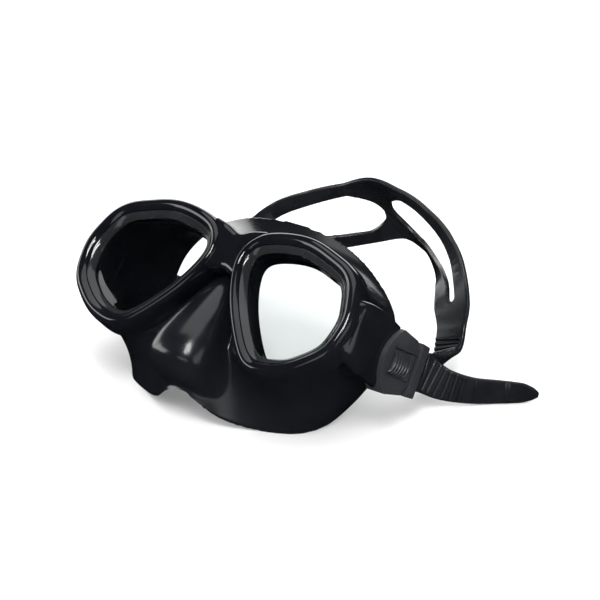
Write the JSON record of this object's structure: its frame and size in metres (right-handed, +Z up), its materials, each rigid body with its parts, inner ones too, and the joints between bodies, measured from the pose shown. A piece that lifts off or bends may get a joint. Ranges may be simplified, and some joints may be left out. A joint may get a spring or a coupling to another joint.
{
  "type": "diving mask",
  "caption": "Black low-volume diving mask with separate left and right windows, silicone skirt with nose pocket, and a split head strap in swivelling push-button buckles.",
  "frame": {"origin": "under the middle of the object, on the surface it stands on", "axes": "+Z up; +X to the wearer's left; the windows look towards -Y, tilted up"},
  "size_m": [0.2448, 0.1926, 0.0869],
  "materials": {
    "frame_gloss": "gloss",
    "silicone": "satin",
    "strap_silicone": "satin",
    "buckle_matte": "matte",
    "roller_matte": "matte",
    "glass": "clear",
    "steel": "satin"
  },
  "bodies": {
    "mask": {"frame": "frame_gloss", "lens_left": "glass", "lens_right": "glass", "lens_ring_left": "frame_gloss", "lens_ring_right": "frame_gloss", "skirt": "silicone", "swivel_pin_left": "steel", "swivel_pin_right": "steel", "swivel_clip_left": "steel", "swivel_clip_right": "steel"},
    "head_strap": {"strap_band": "strap_silicone", "buckle_body_left": "buckle_matte", "buckle_body_right": "buckle_matte", "button_pin_left": "steel", "button_pin_right": "steel", "button_spring_left": "steel", "button_spring_right": "steel", "roller_axle_left": "steel", "roller_axle_right": "steel"},
    "button_left": {"release_button_left": "buckle_matte"},
    "roller_left": {"strap_roller_left": "roller_matte"},
    "tail_left": {"strap_tail_left": "strap_silicone"},
    "button_right": {"release_button_right": "buckle_matte"},
    "roller_right": {"strap_roller_right": "roller_matte"},
    "tail_right": {"strap_tail_right": "strap_silicone"}
  },
  "joints": [
    {"name": "strap_swing", "type": "hinge", "parent": "mask", "child": "head_strap", "pos_m": [0, -0.03121, 0.03388], "axis": [1, 0, 0], "range_deg": [-10, 50]},
    {"name": "button_press_left", "type": "hinge", "parent": "head_strap", "child": "button_left", "pos_m": [0.0833, -0.03372, 0.03552], "axis": [0, -0.5446, -0.8387], "range_deg": [0, 6], "stiffness_Nm_per_rad": 0.2, "springref_deg": -5.73},
    {"name": "tail_feed_left", "type": "slide", "parent": "head_strap", "child": "tail_left", "axis": [0, 0.8387, -0.5446], "range_m": [0, 0.008]},
    {"name": "roller_turn_left", "type": "hinge", "parent": "head_strap", "child": "roller_left", "pos_m": [0.0788, -0.01863, 0.02571], "axis": [0, 0.5446, 0.8387], "range_deg": [0, 185]},
    {"name": "button_press_right", "type": "hinge", "parent": "head_strap", "child": "button_right", "pos_m": [-0.0833, -0.03372, 0.03552], "axis": [0, 0.5446, 0.8387], "range_deg": [0, 6], "stiffness_Nm_per_rad": 0.2, "springref_deg": -5.73},
    {"name": "tail_feed_right", "type": "slide", "parent": "head_strap", "child": "tail_right", "axis": [0, 0.8387, -0.5446], "range_m": [0, 0.008]},
    {"name": "roller_turn_right", "type": "hinge", "parent": "head_strap", "child": "roller_right", "pos_m": [-0.0788, -0.01863, 0.02571], "axis": [0, -0.5446, -0.8387], "range_deg": [0, 185]}
  ],
  "couplings": [
    {"joint": "roller_turn_left", "follows": "tail_feed_left", "rad_per_m": 400},
    {"joint": "roller_turn_right", "follows": "tail_feed_right", "rad_per_m": 400}
  ]
}
